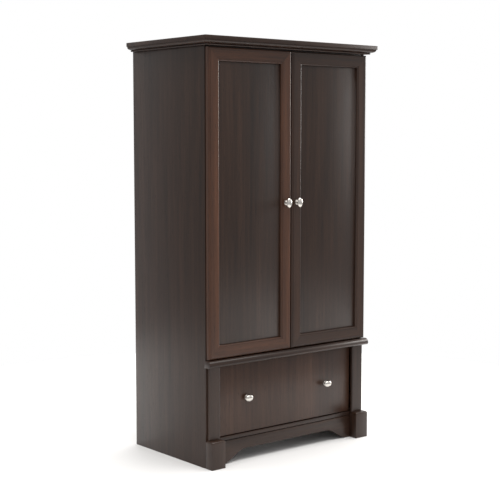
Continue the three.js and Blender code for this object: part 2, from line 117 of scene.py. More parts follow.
class Wire:
    # A shader socket that can be used in shader maths
    def __init__(self, tree, socket=None):
        self.tree = tree
        self.socket = socket

    def node(self, kind, settings=None, inputs=None, output=0):
        made = self.tree.nodes.new(kind)
        for key, value in (settings or {}).items():
            if key == "stops":
                self.setStops(made.color_ramp, value)
            else:
                setattr(made, key, value)
        for key, value in (inputs or {}).items():
            if isinstance(value, Wire):
                self.tree.links.new(value.socket, made.inputs[key])
            else:
                made.inputs[key].default_value = value
        return Wire(self.tree, made.outputs[output])

    def setStops(self, ramp, stops):
        while len(ramp.elements) < len(stops):
            ramp.elements.new(0.5)
        for element, (position, colour) in zip(ramp.elements, stops):
            element.position = position
            element.color = colour

    def maths(self, operation, first, second):
        return self.node("ShaderNodeMath", {"operation": operation}, {0: first, 1: second})

    def __add__(self, other):
        return self.maths("ADD", self, other)

    def __radd__(self, other):
        return self.maths("ADD", other, self)

    def __sub__(self, other):
        return self.maths("SUBTRACT", self, other)

    def __rsub__(self, other):
        return self.maths("SUBTRACT", other, self)

    def __mul__(self, other):
        return self.maths("MULTIPLY", self, other)

    def __rmul__(self, other):
        return self.maths("MULTIPLY", other, self)


def blendColour(wire, share, first, second, mode="MIX"):
    settings = {"data_type": "RGBA", "blend_type": mode}
    return wire.node("ShaderNodeMix", settings, {0: share, 6: first, 7: second}, 2)


def stretched(wire, scale, shift=(0, 0, 0)):
    place = wire.node("ShaderNodeTexCoord", output=3)
    return wire.node("ShaderNodeMapping", {}, {"Vector": place, "Scale": scale, "Location": shift})


def cloudy(wire, place, scale, detail=3.0, roughness=0.5, distortion=0.0):
    return wire.node(
        "ShaderNodeTexNoise",
        {},
        {
            "Vector": place,
            "Scale": scale,
            "Detail": detail,
            "Roughness": roughness,
            "Distortion": distortion,
        },
    )


def between(wire, value, low, high, toLow=0.0, toHigh=1.0):
    return wire.node(
        "ShaderNodeMapRange",
        {"interpolation_type": "SMOOTHSTEP"},
        {"Value": value, "From Min": low, "From Max": high, "To Min": toLow, "To Max": toHigh},
    )


def newFinish(name):
    material = bpy.data.materials.new(name)
    material.use_nodes = True
    shader = material.node_tree.nodes["Principled BSDF"]
    return material, shader, Wire(material.node_tree)


def feed(wire, shader, name, value):
    wire.tree.links.new(value.socket, shader.inputs[name])


def bumped(wire, height, strength, distance):
    inputs = {"Height": height, "Strength": strength, "Distance": distance}
    return wire.node("ShaderNodeBump", {}, inputs)


def setWorld():
    world = bpy.data.worlds.new("studioWorld")
    bpy.context.scene.world = world
    world.use_nodes = True
    background = world.node_tree.nodes["Background"]
    wire = Wire(world.node_tree)
    direction = wire.node("ShaderNodeTexCoord", output=0)
    height = wire.node("ShaderNodeSeparateXYZ", {}, {0: direction}, 2)
    rising = between(wire, height, studio["roomFrom"], studio["roomFull"])
    room = blendColour(wire, rising, studio["roomLow"], studio["roomHigh"])
    heading = radians(studio["heading"])
    ahead = wire.node(
        "ShaderNodeVectorMath", {"operation": "DOT_PRODUCT"},
        {0: direction, 1: (sin(heading), cos(heading), 0.0)}, 1,
    )
    facing = between(wire, ahead, studio["backdropFrom"], studio["backdropFull"])
    light = blendColour(wire, facing, room, studio["backdrop"])
    seen = wire.node("ShaderNodeLightPath")  # looked at directly, the room is plain white
    tone = blendColour(wire, seen, light, studio["backdrop"])
    wire.tree.links.new(tone.socket, background.inputs["Color"])
    background.inputs["Strength"].default_value = 1.0


def setFloor():
    material, shader, wire = newFinish("paleFloor")
    soft = cloudy(wire, stretched(wire, (0.4, 0.4, 0.4)), 1.0, 1.0)
    r, g, b, a = studio["floorColour"]
    lift = studio["floorClouds"]
    tone = blendColour(wire, soft, (r, g, b, a), (r * lift, g * lift, b * lift, a))
    feed(wire, shader, "Base Color", tone)
    shader.inputs["Roughness"].default_value = studio["floorRoughness"]
    deselectAll()
    bpy.ops.mesh.primitive_circle_add(
        vertices=96, radius=studio["floorRadius"], fill_type="NGON", location=(0, 0, 0)
    )
    floor = bpy.context.object
    floor.name = "studioFloor"
    floor.data.materials.append(material)


deselectAll()
setCamera()
setWorld()
setFloor()
areaLight("keyLight", **studio["keyLight"])
areaLight("topLight", **studio["topLight"])
bpy.context.scene.view_settings.view_transform = "Standard"
print("camera, floor and light set")


# Woodgrain laminate: each layer of grain has its stretch along the grain and its fineness
laminate = {
    "dark": (0.0130, 0.0066, 0.0044, 1.0),
    "mid": (0.0300, 0.0148, 0.0092, 1.0),
    "light": (0.0540, 0.0270, 0.0170, 1.0),
    "pore": (0.0060, 0.0032, 0.0026, 1.0),
    "darkAt": 0.34,
    "midAt": 0.52,
    "lightAt": 0.70,
    "bands": (0.045, 9.0),
    "streaks": (0.045, 75.0),
    "threads": (0.012, 320.0),
    "pores": (0.06, 520.0),
    "poreFrom": 0.60,
    "poreFull": 0.70,
    "poreDepth": 0.55,
    "roughness": 0.27,
    "specular": 0.40,
    "relief": 0.12,
    "reliefHeight": 0.0004,
}
grainAxes = {"level": 0, "deep": 1, "upright": 2}


def laminateFinish(name, grain, lift=1.0, warmth=1.0, gloss=0.0, seed=0.0):
    # A printed wood laminate: broad bands, fine streaks along the grain, and short dark pores
    material, shader, wire = newFinish(name)
    look = laminate
    axis = grainAxes[grain]
    shift = (seed, seed * 0.37, seed * 0.11)

    def layer(key, *shape):
        share, fineness = look[key]
        place = stretched(wire, [share if i == axis else 1.0 for i in range(3)], shift)
        return cloudy(wire, place, fineness, *shape)

    def tinted(key):
        r, g, b, a = look[key]
        return (r * lift * warmth, g * lift, b * lift / warmth, a)

    bands = layer("bands", 2.0, 0.5, 1.2)
    streaks = layer("streaks", 4.0, 0.62, 0.3)
    threads = layer("threads", 3.0, 0.6)
    pores = between(wire, layer("pores", 2.0), look["poreFrom"], look["poreFull"])
    body = bands * 0.45 + streaks * 0.35 + threads * 0.20
    stops = [(look[key + "At"], tinted(key)) for key in ("dark", "mid", "light")]
    tone = wire.node("ShaderNodeValToRGB", {"stops": stops}, {0: body})
    tone = blendColour(wire, pores * look["poreDepth"], tone, tinted("pore"))
    feed(wire, shader, "Base Color", tone)
    roughness = look["roughness"] - gloss + (1 - streaks) * 0.10 + pores * 0.12
    feed(wire, shader, "Roughness", roughness)
    relief = bumped(wire, threads * 0.5 - pores, look["relief"], look["reliefHeight"])
    feed(wire, shader, "Normal", relief)
    shader.inputs["Specular IOR Level"].default_value = look["specular"]
    return material


# Satin nickel on the knobs, rod and sockets, and zinc plate on the hidden hardware
metal = {
    "nickelDark": (0.60, 0.565, 0.52, 1.0),
    "nickelLight": (0.76, 0.73, 0.69, 1.0),
    "nickelRoughness": 0.17,
    "steelDark": (0.50, 0.51, 0.53, 1.0),
    "steelLight": (0.66, 0.65, 0.61, 1.0),
    "steelRoughness": 0.30,
    "relief": 0.0002,
}


def nickelFinish():
    # Fine turned scratches and slight clouding
    material, shader, wire = newFinish("brushedNickel")
    clouds = cloudy(wire, stretched(wire, (1.0, 6.0, 1.0)), 60.0, 3.0)
    scratches = cloudy(wire, stretched(wire, (40.0, 900.0, 40.0)), 1.0, 2.0)
    tone = blendColour(wire, clouds, metal["nickelDark"], metal["nickelLight"])
    feed(wire, shader, "Base Color", tone)
    feed(wire, shader, "Roughness", metal["nickelRoughness"] + scratches * 0.10 + clouds * 0.06)
    feed(wire, shader, "Normal", bumped(wire, scratches, 0.05, metal["relief"]))
    shader.inputs["Metallic"].default_value = 1.0
    return material


def steelFinish():
    # Bright zinc plate with a faint yellow and blue cast
    material, shader, wire = newFinish("platedSteel")
    place = stretched(wire, (1.0, 1.0, 1.0))
    clouds = cloudy(wire, place, 35.0, 4.0)
    grains = cloudy(wire, place, 900.0, 2.0)
    tone = blendColour(wire, clouds, metal["steelDark"], metal["steelLight"])
    feed(wire, shader, "Base Color", tone)
    feed(wire, shader, "Roughness", metal["steelRoughness"] + clouds * 0.14)
    feed(wire, shader, "Normal", bumped(wire, grains, 0.08, metal["relief"]))
    shader.inputs["Metallic"].default_value = 1.0
    return material


def plasticFinish(name, colour, roughness):
    # Moulded plastic with a fine spark texture
    material, shader, wire = newFinish(name)
    place = stretched(wire, (1.0, 1.0, 1.0))
    clouds = cloudy(wire, place, 24.0, 2.0)
    grains = cloudy(wire, place, 1400.0, 2.0)
    r, g, b = colour
    shade = 0.88
    tone = blendColour(wire, clouds, (r * shade, g * shade, b * shade, 1.0), (r, g, b, 1.0))
    feed(wire, shader, "Base Color", tone)
    feed(wire, shader, "Roughness", roughness + clouds * 0.1)
    feed(wire, shader, "Normal", bumped(wire, grains, 0.1, 0.0002))
    return material


# Laminates: the grain's direction, lift, warmth, gloss and seed
finishes = {
    "upright": laminateFinish("espressoUpright", "upright"),
    "stile": laminateFinish("espressoStile", "upright", 1.05, 1.02, 0.02, 3.1),
    "level": laminateFinish("espressoLevel", "level", 1.1, 1.02, 0.0, 1.7),
    "rail": laminateFinish("espressoRail", "level", 1.05, 1.02, 0.02, 4.3),
    "deep": laminateFinish("espressoDeep", "deep", 1.1, 1.0, 0.0, 2.3),
    "panel": laminateFinish("espressoPanel", "upright", 0.95, 1.0, 0.0, 5.9),
    "insideLevel": laminateFinish("insideLevel", "level", 1.9, 1.05, -0.12, 6.4),
    "insideDeep": laminateFinish("insideDeep", "deep", 1.9, 1.05, -0.12, 7.4),
    "insideUpright": laminateFinish("insideUpright", "upright", 1.9, 1.05, -0.12, 8.4),
    # painted light: the left door's stiles and rails get a lighter, warmer copy of the stile and rail
    # laminate, standing in for light falling from the right onto that door's frame
    "paintedLitLeftStile": laminateFinish("espressoPaintedLitLeftStile", "upright", 1.75, 1.22, 0.02, 9.1),
    "paintedLitLeftRail": laminateFinish("espressoPaintedLitLeftRail", "level", 1.75, 1.22, 0.02, 10.3),
    "drawerFace": laminateFinish("espressoDrawer", "upright", 1.35, 1.06, 0.0, 11.7),
    "nickel": nickelFinish(),
    "bumper": plasticFinish("bumper", (0.62, 0.62, 0.60), 0.25),
    "steel": steelFinish(),
    "nylon": plasticFinish("nylon", (0.80, 0.79, 0.75), 0.42),
}
print("finishes made:", len(finishes))


# Every size from here on is in millimetres, and y counts from the side panels' front edges
def spot(x, y, z):
    return Vector((x * mm, y * mm + frontEdge, z * mm))


def pick(piece):
    deselectAll()
    piece.select_set(True)
    bpy.context.view_layer.objects.active = piece


def arcPoints(cx, cy, rx, ry, start, end, steps):
    points = []
    for step in range(steps + 1):
        turn = radians(start + (end - start) * step / steps)
        points.append((cx + rx * cos(turn), cy + ry * sin(turn)))
    return points


def settle():
    # Closes an edit: doubles merged, faces turned out, place kept in the mesh
    bpy.ops.mesh.select_mode(type="VERT")
    bpy.ops.mesh.select_all(action="SELECT")
    bpy.ops.mesh.remove_doubles(threshold=1e-6)
    bpy.ops.mesh.normals_make_consistent(inside=False)
    bpy.ops.object.mode_set(mode="OBJECT")
    bpy.ops.object.transform_apply(location=True, rotation=True, scale=True)


def drawLine(name, points):
    # One vertex, extruded from point to point; edit mode stays on
    deselectAll()
    bpy.ops.mesh.primitive_plane_add(size=mm, location=points[0])
    piece = bpy.context.object
    piece.name = name
    bpy.ops.object.mode_set(mode="EDIT")
    bpy.ops.mesh.select_mode(type="VERT")
    bpy.ops.mesh.select_all(action="SELECT")
    bpy.ops.mesh.merge(type="CENTER")
    for here, there in zip(points, points[1:]):
        bpy.ops.mesh.extrude_vertices_move(TRANSFORM_OT_translate={"value": there - here})
    bpy.ops.mesh.select_all(action="SELECT")
    return piece


def prism(name, points, travel):
    piece = drawLine(name, points)
    bpy.ops.mesh.edge_face_add()
    bpy.ops.mesh.extrude_region_move(TRANSFORM_OT_translate={"value": travel})
    settle()
    return piece


def prismX(name, section, x0, x1):
    return prism(name, [spot(x0, y, z) for y, z in section], Vector(((x1 - x0) * mm, 0, 0)))


def prismY(name, section, y0, y1):
    return prism(name, [spot(x, y0, z) for x, z in section], Vector((0, (y1 - y0) * mm, 0)))


def prismZ(name, section, z0, z1):
    return prism(name, [spot(x, y, z0) for x, y in section], Vector((0, 0, (z1 - z0) * mm)))


def trim(piece, at, outward):
    pick(piece)
    bpy.ops.object.mode_set(mode="EDIT")
    bpy.ops.mesh.select_all(action="SELECT")
    bpy.ops.mesh.bisect(plane_co=at, plane_no=outward, use_fill=True, clear_outer=True)
    bpy.ops.object.mode_set(mode="OBJECT")


def applied(piece, kind, **settings):
    pick(piece)
    modifier = piece.modifiers.new(kind.title(), kind)
    for key, value in settings.items():
        setattr(modifier, key, value)
    bpy.ops.object.modifier_apply(modifier=modifier.name)
    return piece


def eased(piece, width, segments=2, angle=40):
    return applied(
        piece, "BEVEL", width=width * mm, segments=segments, limit_method="ANGLE",
        angle_limit=radians(angle), use_clamp_overlap=True,
    )


def joined(first, *more):
    deselectAll()
    for piece in (first, *more):
        piece.select_set(True)
    bpy.context.view_layer.objects.active = first
    bpy.ops.object.join()
    return first


def carved(piece, cutter):
    # Takes the cutter's shape out of the piece
    applied(piece, "BOOLEAN", object=cutter, operation="DIFFERENCE", solver="EXACT")
    bpy.data.objects.remove(cutter)
    return piece


def block(name, low, high):
    deselectAll()
    a, b = spot(*low), spot(*high)
    bpy.ops.mesh.primitive_cube_add(size=1, location=(a + b) / 2)
    piece = bpy.context.object
    piece.name = name
    bpy.ops.object.mode_set(mode="EDIT")
    bpy.ops.transform.resize(value=b - a)
    settle()
    return piece


def board(name, low, high, ease=0.7):
    return eased(block(name, low, high), ease)


def rod(name, start, end, radius, sides=24):
    # A round bar between two points
    deselectAll()
    a, b = spot(*start), spot(*end)
    turn = (b - a).to_track_quat("Z", "Y").to_euler()
    bpy.ops.mesh.primitive_cylinder_add(
        vertices=sides, radius=radius * mm, depth=(b - a).length,
        location=(a + b) / 2, rotation=turn,
    )
    piece = bpy.context.object
    piece.name = name
    bpy.ops.object.transform_apply(location=True, rotation=True, scale=True)
    return piece


def turned(name, profile, base, axis, side, steps=40):
    # Spins a profile of (radius, height) pairs round the axis through base
    points = [base + side * (r * mm) + axis * (h * mm) for r, h in profile]
    piece = drawLine(name, points)
    bpy.ops.mesh.spin(steps=steps, angle=2 * pi, center=base, axis=axis)
    settle()
    return piece


def smoothLine(points, steps):
    # Extra points between the given ones, on a curve through them
    line = []
    last = len(points) - 1
    for i in range(last):
        p0, p1, p2, p3 = (points[max(0, min(last, i + k))] for k in (-1, 0, 1, 2))
        for step in range(steps):
            t = step / steps
            line.append(tuple(
                0.5 * (2 * b + (c - a) * t + (2 * a - 5 * b + 4 * c - d) * t * t
                       + (3 * b - a - 3 * c + d) * t ** 3)
                for a, b, c, d in zip(p0, p1, p2, p3)
            ))
    line.append(points[-1])
    return line


def twin(piece, name, flip=False, move=(0, 0, 0)):
    # A copy with its own mesh, moved, or turned over to the cabinet's other side
    pick(piece)
    bpy.ops.object.duplicate()
    copy = bpy.context.object
    copy.name = name
    copy.location = Vector(move) * mm
    if flip:
        copy.scale = (-1, 1, 1)
    bpy.ops.object.transform_apply(location=True, rotation=True, scale=True)
    if flip:
        bpy.ops.object.mode_set(mode="EDIT")
        settle()
    return copy


def dress(piece, finish, slot, body, *replaced, angle=32):
    pick(piece)
    bpy.ops.object.shade_smooth_by_angle(angle=radians(angle))
    piece.data.materials.clear()
    piece.data.materials.append(finishes[finish])
    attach(piece, body)
    if replaced:
        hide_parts(*replaced)
    return piece


def dressPair(piece, name, finish, slot, bodies, *replaced, angle=32):
    # The left piece and its mirror image; replaced names go without their left_ or right_
    leftBody, rightBody = bodies
    leftFinish, rightFinish = (finish, finish) if isinstance(finish, str) else finish
    pick(piece)
    bpy.ops.object.mode_set(mode="EDIT")
    settle()
    other = twin(piece, "right" + name, flip=True)
    piece.name = "left" + name
    dress(piece, leftFinish, slot, leftBody, *["left_" + n for n in replaced], angle=angle)
    dress(other, rightFinish, slot, rightBody, *["right_" + n for n in replaced], angle=angle)


# The record's material slots, and the bodies that a left piece and its twin ride on
woodSlot = "espresso_laminate"
insideSlot = "inside_laminate"
nickelSlot = "brushed_nickel"
steelSlot = "plated_steel"
cabinet = ("cabinet", "cabinet")
doors = ("left_door", "right_door")
drawer = ("drawer", "drawer")


# The case: side panels with shelf pin holes, the top board, and the boards between the sides
carcass = {
    "sideLow": (-395, 0, 0),
    "sideHigh": (-379, 450, 1544.7),
    "topLow": (-425, -47, 1545),
    "topHigh": (425, 450, 1560),
    "reach": 378.7,  # where boards between the side panels end
    "backReach": 442.7,
    "headerThick": 16,
    "header": (1498.7, 1544.7),
    "bottom": (91, 105),
    "fixedShelf": (383.5, 399.5),
    "looseShelf": (1334, 1350),
    "looseFront": 47.7,
    "looseGap": 1,
    "pinHoleRows": (60, 370),
    "pinHoleSteps": (-4, 3),  # holes below and above the shelf's own
    "pinHoleRadius": 2.8,
    "pinHoleDepth": (-383.8, -375),
    "pinHeight": 1331.2,
    "pinStep": 32,
    "ease": 0.8,
    "topEase": 1.4,
}


def makeCarcass():
    c = carcass
    side = board("leftSidePanel", c["sideLow"], c["sideHigh"], c["ease"])
    deep, mouth = c["pinHoleDepth"]
    for y in c["pinHoleRows"]:
        for step in range(*c["pinHoleSteps"]):
            z = c["pinHeight"] + step * c["pinStep"]
            hole = rod("pinHole", (deep, y, z), (mouth, y, z), c["pinHoleRadius"], 16)
            side = carved(side, hole)
    dressPair(side, "SidePanel", "upright", woodSlot, cabinet, "side_panel")
    top = board("topBoard", c["topLow"], c["topHigh"], c["topEase"])
    dress(top, "level", woodSlot, "cabinet", "top_board")

    def crossBoard(name, heights, front, back, inset=0):
        half = c["reach"] - inset
        return board(name, (-half, front, heights[0]), (half, back, heights[1]), c["ease"])

    header = crossBoard("headerRail", c["header"], 0, c["headerThick"])
    dress(header, "level", woodSlot, "cabinet", "header_rail")
    floor = crossBoard("bottomPanel", c["bottom"], 0, c["backReach"])
    dress(floor, "level", woodSlot, "cabinet", "bottom_panel")
    middle = crossBoard("fixedShelf", c["fixedShelf"], 0, c["backReach"])
    dress(middle, "insideLevel", insideSlot, "cabinet", "fixed_shelf")
    front, gap = c["looseFront"], c["looseGap"]
    loose = crossBoard("adjustableShelf", c["looseShelf"], front, c["backReach"], gap)
    dress(loose, "insideLevel", insideSlot, "cabinet", "adjustable_shelf")


makeCarcass()
print("carcass made")


# The crown moulding, mitred at the front corners
crown = {
    "foot": 1527,
    "top": 1544.7,
    "bead": 3,
    "beadOut": 7,
    "ovoloFrom": 8.5,
    "out": 26,
    "fillet": 1.2,
    "basePlane": -17,
    "side": -395,
    "back": 450,
    "gap": 0.3,
    "spare": 30,  # cut off again by the mitres
}


def crownSection():
    # Out from the base plane, and height: a bead, an ovolo and a fillet
    c = crown
    bead, gap = c["bead"], c["gap"]
    start = c["foot"] + 2 * bead + gap
    top = c["top"] - c["fillet"]
    return [
        (gap, c["foot"]),
        *arcPoints(c["beadOut"], c["foot"] + bead, bead, bead, -90, 90, 14),
        *arcPoints(c["ovoloFrom"], top, c["out"] - c["ovoloFrom"], top - start, -90, 0, 18),
        (c["out"], c["top"]),
        (gap, c["top"]),
    ]


def makeCrown():
    c = crown
    section = crownSection()
    base, side, gap, spare = c["basePlane"], c["side"], c["gap"], c["spare"]
    front = prismX("crownFront", [(base - s, z) for s, z in section], side - spare, spare - side)
    trim(front, spot(side, base, 0), (-1, 1, 0))
    trim(front, spot(-side, base, 0), (1, 1, 0))
    filler = block("crownFiller", (side, base - 2 * gap, c["foot"]), (-side, -gap, c["top"]))
    dress(joined(front, filler), "level", woodSlot, "cabinet", "crown_front", angle=24)
    left = prismY("leftCrown", [(side - s, z) for s, z in section], base - spare, c["back"])
    trim(left, spot(side, base + 2 * gap, 0), (1, -1, 0))
    dressPair(left, "Crown", "deep", woodSlot, cabinet, angle=24)
    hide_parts("crown_left")
    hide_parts("crown_right")


makeCrown()
print("crown made")


# The waist moulding, pilasters, foot blocks and arched apron
base = {
    "gap": 0.3,
    "waistHalf": 400,
    "waistTop": 399.5,
    "waistFoot": 372.5,
    "nose": 9,
    "proud": 35,
    "waistFlat": 1.5,  # how far the rounded nose stops short of its own top
    "pilaster": (-388, -335),
    "pilasterFront": -12,
    "pilasterRounds": (2, 6),  # on the outer and inner front edges
    "footOut": -395,
    "footIn": -333,
    "footFront": -38,
    "footTop": 104,
    "footRound": 8,
    "archHeight": 46,
    "archHalf": 205,
    "archEnd": 322,
    "archSteps": 36,
    "apronTop": 88.5,
    "apronThick": 16,
}


def makeWaist():
    b = base
    foot, top, nose, flat = b["waistFoot"], b["waistTop"], b["nose"], b["waistFlat"]
    middle = foot + 2 + nose
    front = nose - b["proud"]
    section = [
        (-b["gap"], foot),
        *arcPoints(front, middle, -nose, -nose, 90, 0, 18),
        *arcPoints(front + flat, middle, -nose - 1.1, top - middle - flat, 0, 90, 18)[1:],
        (front + flat, top),
        (-b["gap"], top),
    ]
    moulding = prismX("waistMoulding", section, -b["waistHalf"], b["waistHalf"])
    dress(eased(moulding, 0.5, 2, 60), "level", woodSlot, "cabinet", "waist_moulding", angle=24)


def makePilasters():
    b = base
    gap = b["gap"]
    x0, x1 = b["pilaster"]
    front = b["pilasterFront"]
    outer, inner = b["pilasterRounds"]
    section = [
        (x0, -gap),
        *arcPoints(x0 + outer, front + outer, outer, outer, 180, 270, 8),
        *arcPoints(x1 - inner, front + inner, inner, inner, 270, 360, 16),
        (x1, -gap),
    ]
    pilaster = prismZ("leftPilaster", section, b["footTop"] + gap, b["waistFoot"] - gap)
    dressPair(pilaster, "Pilaster", "upright", woodSlot, cabinet, "pilaster", angle=24)


def makeFeet():
    b = base
    r, top, gap = b["footRound"], b["footTop"], b["gap"]
    x0, x1, front = b["footOut"], b["footIn"], b["footFront"]
    fromSide = [
        (-gap, 0),
        (front, 0),
        *arcPoints(front + r, top - r, r, r, 180, 90, 14),
        (-gap, top),
    ]
    foot = prismX("leftFootBlock", fromSide, x0, x1)
    # what lies outside the rounded outline seen from the front is cut away
    for x, sign in ((x0, -1), (x1, 1)):
        corner = [
            (x - sign * r, top + 1),
            *arcPoints(x - sign * r, top - r, sign * r, r, 90, 0, 14),
            (x + sign, top - r),
            (x + sign, top + 1),
        ]
        foot = carved(foot, prismY("footCut", corner, front - 2, 2))
    foot = eased(foot, 0.8, 2, 50)
    dressPair(foot, "FootBlock", "upright", woodSlot, cabinet, "foot_block", angle=30)


def makeApron():
    b = base
    reach, top, steps = carcass["reach"], b["apronTop"], b["archSteps"]
    run = b["archEnd"] - b["archHalf"]
    rise = []
    for step in range(steps + 1):
        t = step / steps
        rise.append((run * t - b["archEnd"], b["archHeight"] * (0.5 - 0.5 * cos(pi * t))))
    fall = [(-x, z) for x, z in reversed(rise)]
    outline = [(-reach, 0), *rise, *fall, (reach, 0), (reach, top), (-reach, top)]
    apron = eased(prismY("frontApron", outline, 0, b["apronThick"]), 0.7, 2, 50)
    dress(apron, "level", woodSlot, "cabinet", "front_apron", angle=24)


makeWaist()
makePilasters()
makeFeet()
makeApron()
print("base made")


# Two doors, each four mitred members round a flat panel
door = {
    "hingeEdge": -392,
    "meetingEdge": -1.5,
    "foot": 402.5,
    "top": 1522.5,
    "mitreGap": 0.15,
    "panelReach": 44.3,
    "panelFace": 11,
    "panelThick": 5,
    "hingeFromEnd": 95,
    "cupNear": -387.2,
    "cupFar": -353,
    "cupHalf": 17.2,
    "cupFloor": -15.4,
    "cupWall": 0.8,
    "pocketGap": 0.3,
    "panelEase": 0.4,
}


def memberSection():
    # From the outer edge inwards, and forwards from the side panels' edges
    return [
        (0, 2.5),
        (50, 2.5),
        (50, 5.7),
        (44, 5.7),
        (44, 11.3),
        (49.5, 11.3),
        *arcPoints(43, 12.5, 6.5, 6.5, 0, 90, 14),
        (42.2, 19),
        (42.05, 19.2),
        (41.8, 20),
        (9.2, 20),
        (8.95, 19.2),
        (8.8, 19),
        *arcPoints(8, 14, 8, 5, 90, 180, 14),
    ]


def cupOutline(grow):
    d = door
    near, far = d["cupNear"] - grow, d["cupFar"] + grow
    half = d["cupHalf"] + grow
    r, tight = 8, 2.5
    return [
        *arcPoints(far - r, half - r, r, r, 0, 90, 10),
        *arcPoints(near + tight, half - tight, tight, tight, 90, 180, 6),
        *arcPoints(near + tight, tight - half, tight, tight, 180, 270, 6),
        *arcPoints(far - r, r - half, r, r, 270, 360, 10),
    ]


def hingeHeights():
    d = door
    return {"Upper": d["top"] - d["hingeFromEnd"], "Lower": d["foot"] + d["hingeFromEnd"]}


def makeDoorFrame():
    d = door
    section = memberSection()
    foot, top, gap = d["foot"], d["top"], d["mitreGap"]
    outer, inner = d["hingeEdge"], d["meetingEdge"]
    # the left door's stiles take the lighter, warmer copy of the laminate, which is painted light; the
    # right door's stiles take the plain one
    stile = ("paintedLitLeftStile", "stile")

    hinge = prismZ("hingeStile", [(outer + s, -f) for s, f in section], foot, top)
    trim(hinge, spot(outer, 0, foot + gap), (1, 0, -1))
    trim(hinge, spot(outer, 0, top - gap), (1, 0, 1))
    grow = d["cupWall"] + d["pocketGap"]
    for z in hingeHeights().values():
        pocket = [(x, z + h) for x, h in cupOutline(grow)]
        hinge = carved(hinge, prismY("cupPocket", pocket, d["cupFloor"] - grow, 0))
    dressPair(hinge, "HingeStile", stile, woodSlot, doors, "door_hinge_stile", angle=24)

    meeting = prismZ("meetingStile", [(inner - s, -f) for s, f in section], foot, top)
    trim(meeting, spot(inner, 0, foot + gap), (-1, 0, -1))
    trim(meeting, spot(inner, 0, top - gap), (-1, 0, 1))
    dressPair(meeting, "MeetingStile", stile, woodSlot, doors, "door_meeting_stile", angle=24)

    rails = (("BottomRail", "door_bottom_rail", foot, 1), ("TopRail", "door_top_rail", top, -1))
    for name, node, edge, side in rails:
        rail = prismX(name, [(-f, edge + side * s) for s, f in section], outer, inner)
        trim(rail, spot(outer + gap, 0, edge), (-1, 0, side))
        trim(rail, spot(inner - gap, 0, edge), (1, 0, side))
        # the left door's rails likewise take the lighter, warmer copy, which is painted light
        dressPair(rail, name, ("paintedLitLeftRail", "rail"), woodSlot, doors, node, angle=24)


def makeDoorPanel():
    d = door
    r = d["panelReach"]
    low = (d["hingeEdge"] + r, -d["panelFace"], d["foot"] + r)
    high = (d["meetingEdge"] - r, d["panelThick"] - d["panelFace"], d["top"] - r)
    panel = board("leftDoorPanel", low, high, d["panelEase"])
    dressPair(panel, "DoorPanel", "panel", "door_panel_laminate", doors, "door_panel")


makeDoorFrame()
makeDoorPanel()
print("doors made")


# Oval knobs, upright on the doors and lying on the drawer
knobs = {
    "radius": 12.5,
    "proud": 26,
    "widen": 1.44,
    "widenFrom": 0.33,  # shares of the knob's height
    "widenOver": 0.195,
    "doorAt": (-27, -20.3, 959),
    "drawerAt": (-200, 3.7, 237),
    "profile": [
        (0, 0), (0.72, 0), (0.75, 0.04), (0.69, 0.085), (0.43, 0.125), (0.34, 0.21), (0.34, 0.33),
        (0.42, 0.44), (0.67, 0.525), (0.9, 0.58), (1, 0.655), (0.99, 0.73), (0.86, 0.83), (0.61, 0.92),
        (0.31, 0.98), (0, 1),
    ],
}


def makeKnob(place, upright):
    # Turned first, then each ring of the head is widened along the oval's long side
    k = knobs
    coarse = [(r * k["radius"], h * k["proud"]) for r, h in k["profile"]]
    profile = coarse[:2] + smoothLine(coarse[2:], 4)
    centre = spot(*place)
    piece = turned("knob", profile, centre, Vector((0, -1, 0)), Vector((1, 0, 0)), 48)
    pick(piece)
    rows = {}
    for vertex in piece.data.vertices:
        rows.setdefault(round((centre.y - vertex.co.y) / mm, 3), []).append(vertex.index)
    for height, members in rows.items():
        t = max(0.0, min(1.0, (height / k["proud"] - k["widenFrom"]) / k["widenOver"]))
        widen = 1 + (k["widen"] - 1) * t * t * (3 - 2 * t)
        if widen == 1:
            continue
        bpy.ops.object.mode_set(mode="EDIT")
        bpy.ops.mesh.select_all(action="DESELECT")
        bpy.ops.object.mode_set(mode="OBJECT")
        for index in members:
            piece.data.vertices[index].select = True
        bpy.ops.object.mode_set(mode="EDIT")
        scale = (1, 1, widen) if upright else (widen, 1, 1)
        bpy.ops.transform.resize(value=scale, center_override=centre)
        bpy.ops.object.mode_set(mode="OBJECT")
    return piece


doorKnob = makeKnob(knobs["doorAt"], True)
dressPair(doorKnob, "DoorKnob", "nickel", nickelSlot, doors, "door_knob", angle=50)
drawerKnob = makeKnob(knobs["drawerAt"], False)
dressPair(drawerKnob, "DrawerKnob", "nickel", nickelSlot, drawer, "drawer_knob", angle=50)
print("knobs made")


# The drawer: a plain front on a box of thin boards
drawerBox = {
    "frontHalf": 332.5,
    "frontFace": 4,
    "frontBack": 20,
    "frontFoot": 108,
    "frontTop": 369,
    "half": 318,
    "start": 20.3,
    "end": 400.3,
    "foot": 145,
    "top": 305,
    "thick": 12,
    "gap": 0.3,
    "floor": (151, 155),
    "frontEase": 1.3,
    "boxEase": 0.8,
    "floorEase": 0.3,
}


def makeDrawer():
    d = drawerBox
    half, inner, ease = d["half"], d["half"] - d["thick"], d["boxEase"]
    clear = inner - d["gap"]  # boards between the drawer's sides
    start, end = d["start"], d["end"]
    backFace = end - d["thick"]
    low = (-d["frontHalf"], d["frontFace"], d["frontFoot"])
    high = (d["frontHalf"], d["frontBack"], d["frontTop"])
    front = board("drawerFront", low, high, d["frontEase"])
    dress(front, "drawerFace", woodSlot, "drawer", "drawer_front")
    side = board("leftDrawerSide", (-half, start, d["foot"]), (-inner, end, d["top"]), ease)
    dressPair(side, "DrawerSide", "insideDeep", insideSlot, drawer, "drawer_side")
    back = board("drawerBack", (-clear, backFace, d["foot"]), (clear, end, d["top"]), ease)
    dress(back, "insideLevel", insideSlot, "drawer", "drawer_back")
    foot, top = d["floor"]
    floorEnd = backFace - d["gap"]
    floor = board("drawerBottom", (-clear, start, foot), (clear, floorEnd, top), d["floorEase"])
    dress(floor, "insideLevel", insideSlot, "drawer", "drawer_bottom")


makeDrawer()
print("drawer made")


